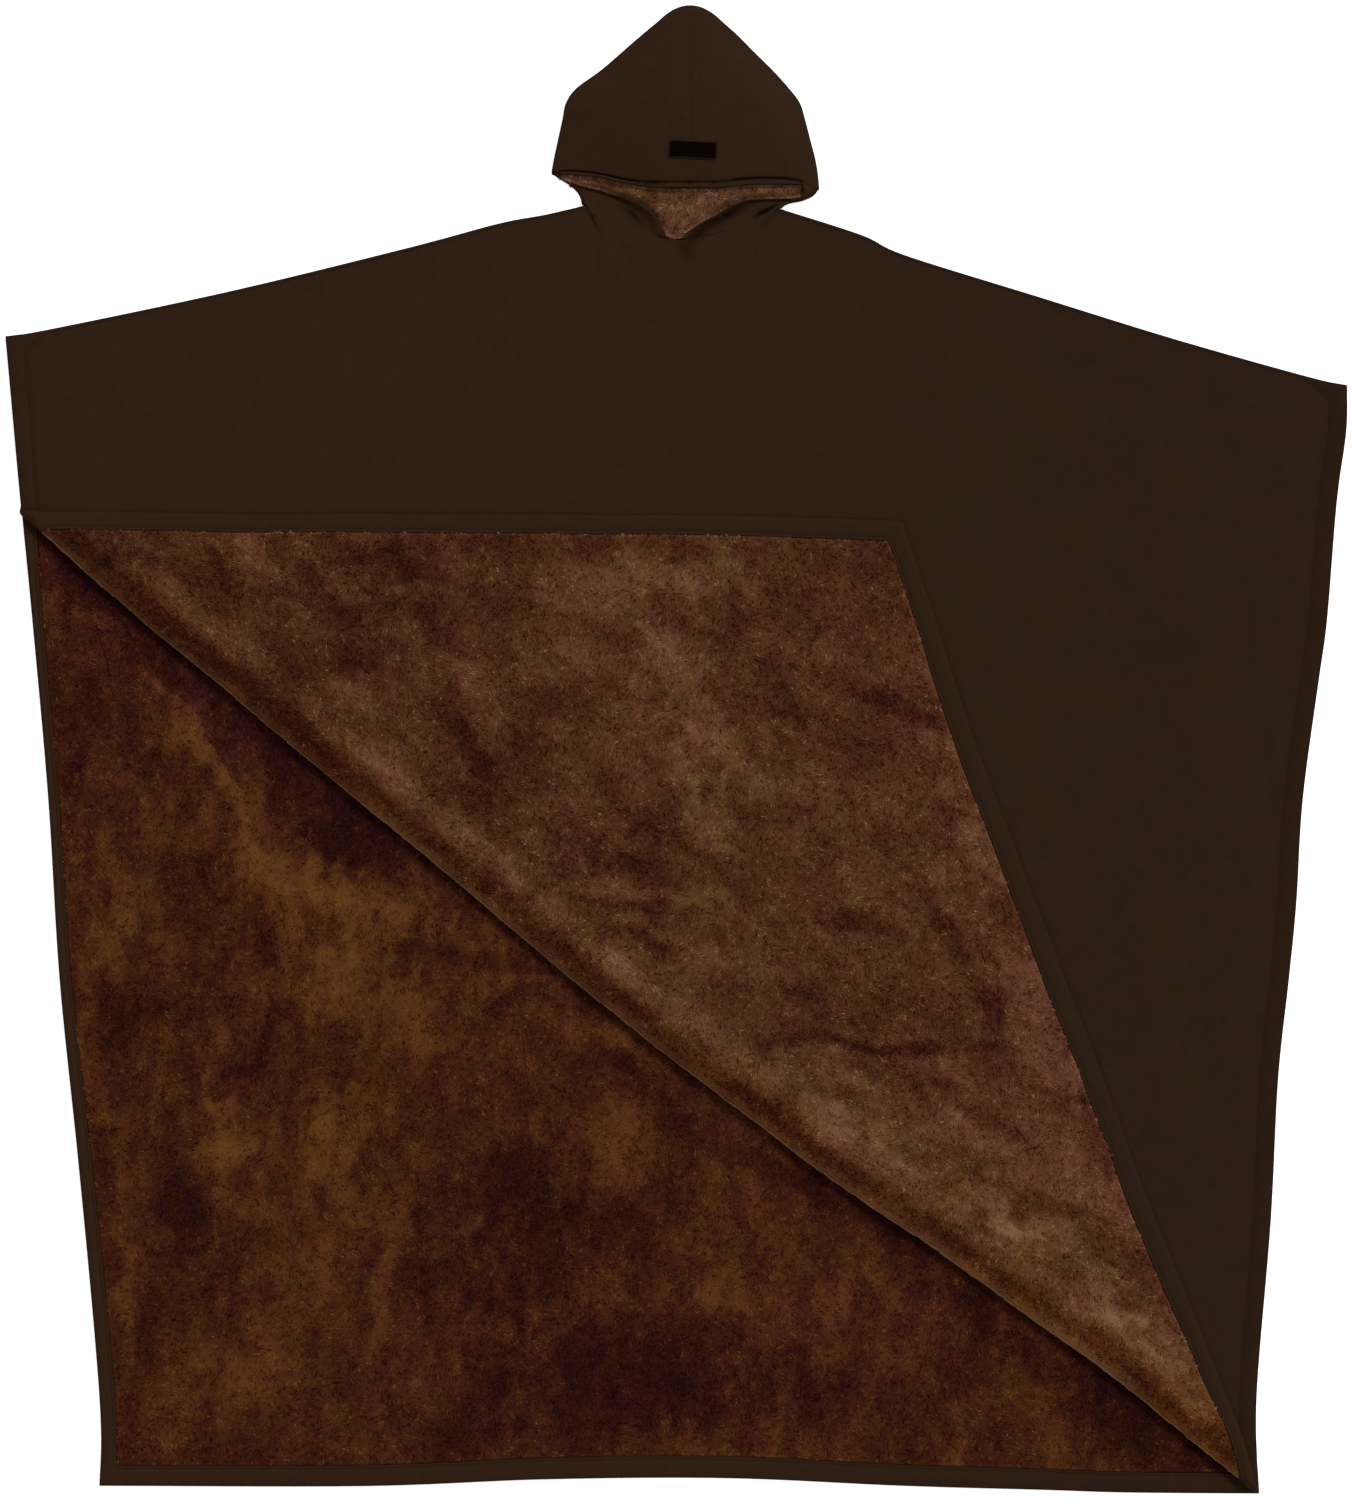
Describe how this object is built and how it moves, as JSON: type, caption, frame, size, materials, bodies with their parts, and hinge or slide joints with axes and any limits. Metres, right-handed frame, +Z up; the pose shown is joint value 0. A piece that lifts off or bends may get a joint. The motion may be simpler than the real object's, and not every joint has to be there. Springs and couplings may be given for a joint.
{
  "type": "hooded poncho",
  "caption": "Hooded wearable blanket laid flat, a woven shell over a plush lining, with the front's lower left corner folded over to show the lining.",
  "frame": {"origin": "on the floor, under the middle of the garment's outline", "axes": "+Z up from the floor, +Y from the bottom hem towards the hood, +X across the garment to the viewer's right"},
  "size_m": [1.4483, 1.6074, 0.0283],
  "materials": {
    "shell": "matt dark brown woven cloth",
    "front_pile": "brown plush pile",
    "back_pile": "warm brown plush pile",
    "hood_pile": "brown plush pile",
    "strip": "black hook-and-loop tape"
  },
  "bodies": {
    "root": {"back_shell": "shell", "back_lining": "back_pile", "front_shell": "shell", "front_lining": "front_pile", "hood_left": "shell", "hood_right": "shell", "hood_lining_left": "hood_pile", "hood_lining_right": "hood_pile", "hood_strip": "strip"}
  },
  "joints": []
}
